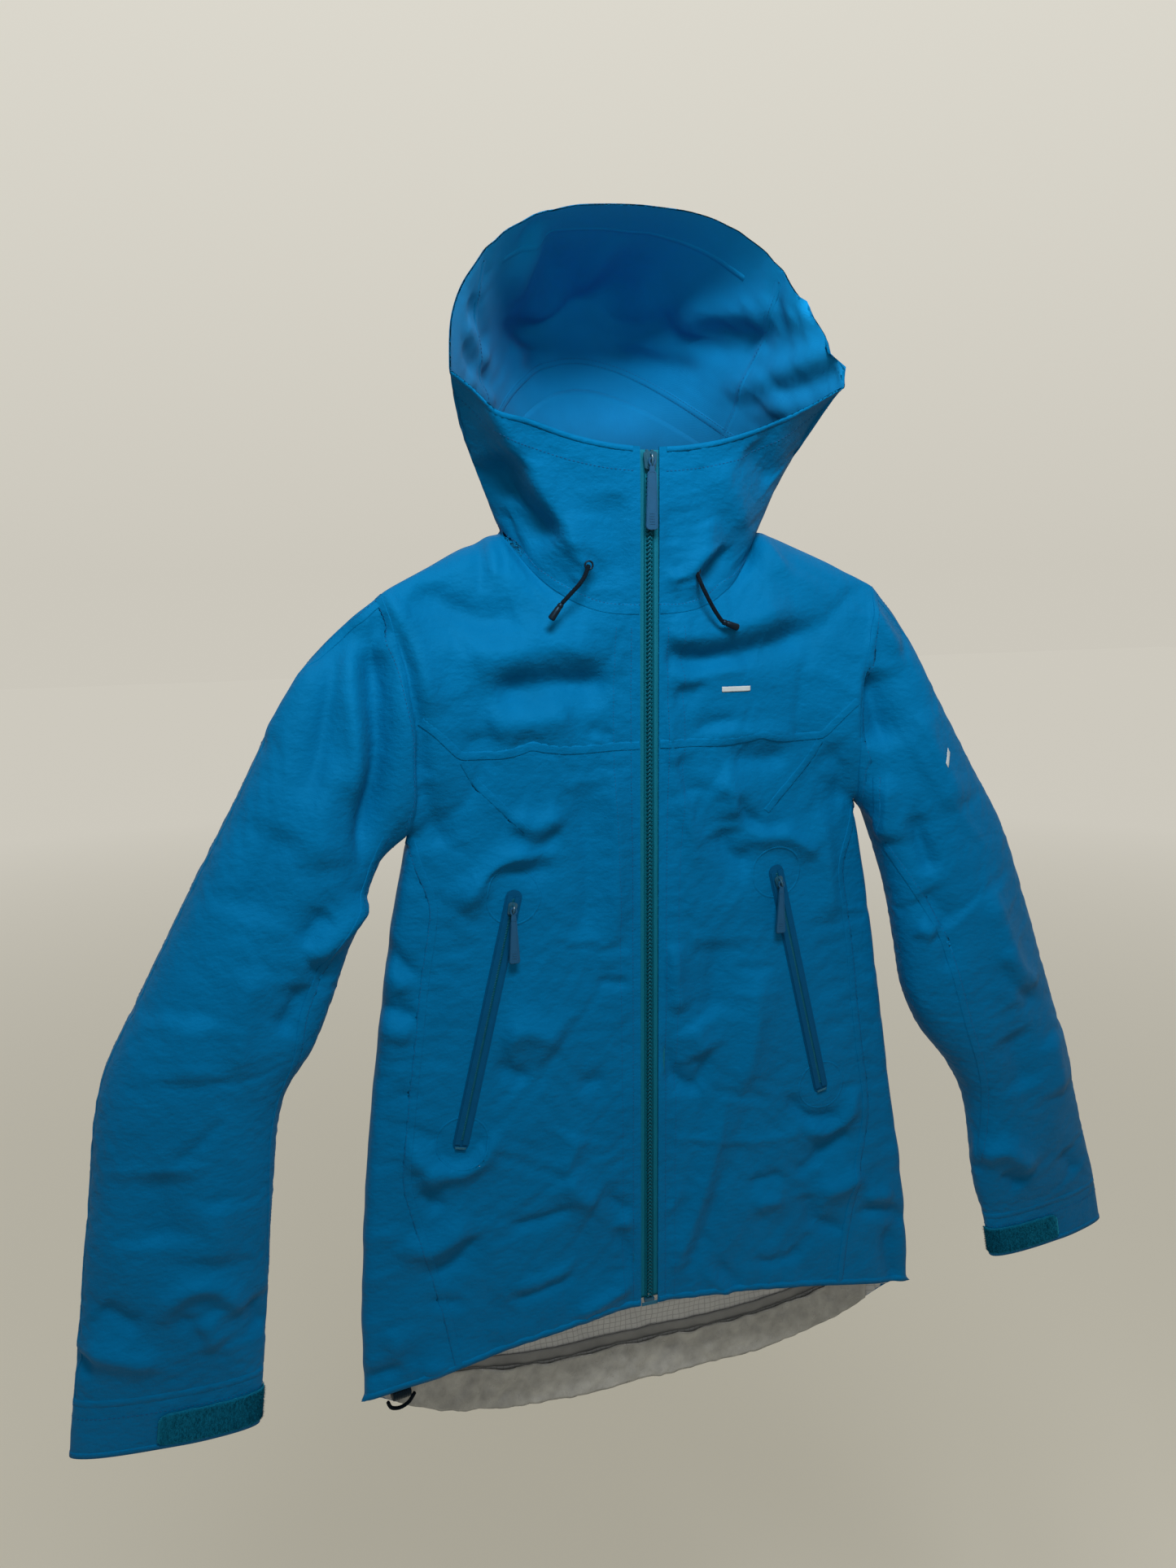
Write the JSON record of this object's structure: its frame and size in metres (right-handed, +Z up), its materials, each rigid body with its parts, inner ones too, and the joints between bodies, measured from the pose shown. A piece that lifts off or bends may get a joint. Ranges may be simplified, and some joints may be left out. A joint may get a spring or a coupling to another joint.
{
  "type": "hardshell jacket",
  "caption": "Hooded waterproof shell jacket hung by its neck loop, with sliding front and pocket zips, swinging pull tabs, sleeves and cuff tabs",
  "frame": {"origin": "top of the hang loop inside the back neck", "axes": "+Z up as the jacket hangs, -Y towards the front zip, +X towards the right of someone facing the front"},
  "size_m": [0.906, 0.2297, 0.973],
  "materials": {
    "shell_fabric": "matte woven face",
    "shell_lining": "light ripstop backer, satin",
    "hood_lining": "smooth knit backer",
    "seam_tape": "smooth welded tape",
    "zip_tape": "woven tape",
    "zip_coil": "moulded nylon",
    "zip_slider": "painted cast slider",
    "pull_tab": "moulded soft plastic",
    "zip_end": "moulded",
    "pocket_welt": "smooth laminated tape",
    "pocket_bag": "light mesh",
    "loop_pile": "fuzzy loop pile",
    "cord": "braided",
    "cord_end": "moulded soft plastic",
    "toggle": "moulded",
    "reflective": "plain reflective transfer"
  },
  "bodies": {
    "shell": {"front_yoke_right": "shell_fabric", "front_yoke_left": "shell_fabric", "front_panel_right": "shell_fabric", "front_panel_left": "shell_fabric", "side_panel_right": "shell_fabric", "side_panel_left": "shell_fabric", "back_yoke": "shell_fabric", "back_panel": "shell_fabric", "hem_facing_right": "shell_lining", "hem_facing_left": "shell_lining", "hem_facing_back": "shell_lining", "hem_seam_tape": "seam_tape", "storm_flap": "shell_fabric", "hood_side_right": "shell_fabric", "hood_side_left": "shell_fabric", "hood_center": "shell_fabric", "hood_brim": "shell_fabric", "collar_lining_right": "hood_lining", "collar_lining_left": "hood_lining", "neck_band": "hood_lining", "zip_tape_right": "zip_tape", "zip_tape_left": "zip_tape", "zip_coil_right": "zip_coil", "zip_coil_left": "zip_coil", "zip_top_stops": "zip_end", "zip_bottom_box": "zip_end", "pocket_welt_right": "pocket_welt", "pocket_welt_left": "pocket_welt", "pocket_bag_right": "pocket_bag", "pocket_bag_left": "pocket_bag", "hood_cord_right": "cord", "hood_cord_left": "cord", "cord_cap_right": "cord_end", "cord_cap_left": "cord_end", "hood_rear_toggle": "toggle", "hem_toggle": "toggle", "hem_cord": "cord", "hang_loop": "cord", "chest_mark": "reflective"},
    "sleeve_right": {"sleeve_front_right": "shell_fabric", "sleeve_back_right": "shell_fabric", "cuff_right": "shell_fabric", "loop_patch_right": "loop_pile", "sleeve_mark": "reflective"},
    "sleeve_left": {"sleeve_front_left": "shell_fabric", "sleeve_back_left": "shell_fabric", "cuff_left": "shell_fabric", "loop_patch_left": "loop_pile"},
    "cuff_tab_right": {"cuff_tab_right": "shell_fabric"},
    "cuff_tab_left": {"cuff_tab_left": "shell_fabric"},
    "main_slider": {"main_slider": "zip_slider"},
    "main_pull_tab": {"main_pull_tab": "pull_tab"},
    "pocket_slider_right": {"pocket_slider_right": "zip_slider"},
    "pocket_slider_left": {"pocket_slider_left": "zip_slider"},
    "pocket_pull_tab_right": {"pocket_pull_tab_right": "pull_tab"},
    "pocket_pull_tab_left": {"pocket_pull_tab_left": "pull_tab"}
  },
  "joints": [
    {"name": "sleeve_swing_right", "type": "hinge", "parent": "shell", "child": "sleeve_right", "pos_m": [0.2, -0.066, -0.048], "axis": [0, -1, 0], "range_deg": [0, 45]},
    {"name": "cuff_tab_peel_right", "type": "hinge", "parent": "sleeve_right", "child": "cuff_tab_right", "pos_m": [0.3991, -0.0751, -0.63472], "axis": [0.1311, 0, -0.9914], "range_deg": [0, 150]},
    {"name": "pocket_zip_slide_right", "type": "slide", "parent": "shell", "child": "pocket_slider_right", "axis": [0.2334, 0, -0.9724], "range_m": [0, 0.182]},
    {"name": "pocket_pull_swing_right", "type": "hinge", "parent": "pocket_slider_right", "child": "pocket_pull_tab_right", "pos_m": [0.11187, -0.0882, -0.28778], "axis": [-1, 0, 0], "range_deg": [0, 160]},
    {"name": "sleeve_swing_left", "type": "hinge", "parent": "shell", "child": "sleeve_left", "pos_m": [-0.2, -0.066, -0.048], "axis": [0, 1, 0], "range_deg": [0, 45]},
    {"name": "cuff_tab_peel_left", "type": "hinge", "parent": "sleeve_left", "child": "cuff_tab_left", "pos_m": [-0.39277, -0.0751, -0.64352], "axis": [0.0454, 0, 0.999], "range_deg": [0, 150]},
    {"name": "pocket_zip_slide_left", "type": "slide", "parent": "shell", "child": "pocket_slider_left", "axis": [-0.2334, 0, -0.9724], "range_m": [0, 0.182]},
    {"name": "pocket_pull_swing_left", "type": "hinge", "parent": "pocket_slider_left", "child": "pocket_pull_tab_left", "pos_m": [-0.11187, -0.0882, -0.28778], "axis": [-1, 0, 0], "range_deg": [0, 160]},
    {"name": "main_zip_slide", "type": "slide", "parent": "shell", "child": "main_slider", "axis": [0, 0, -1], "range_m": [0, 0.66]},
    {"name": "main_pull_swing", "type": "hinge", "parent": "main_slider", "child": "main_pull_tab", "pos_m": [0, -0.0869, 0.042], "axis": [-1, 0, 0], "range_deg": [0, 160]}
  ]
}
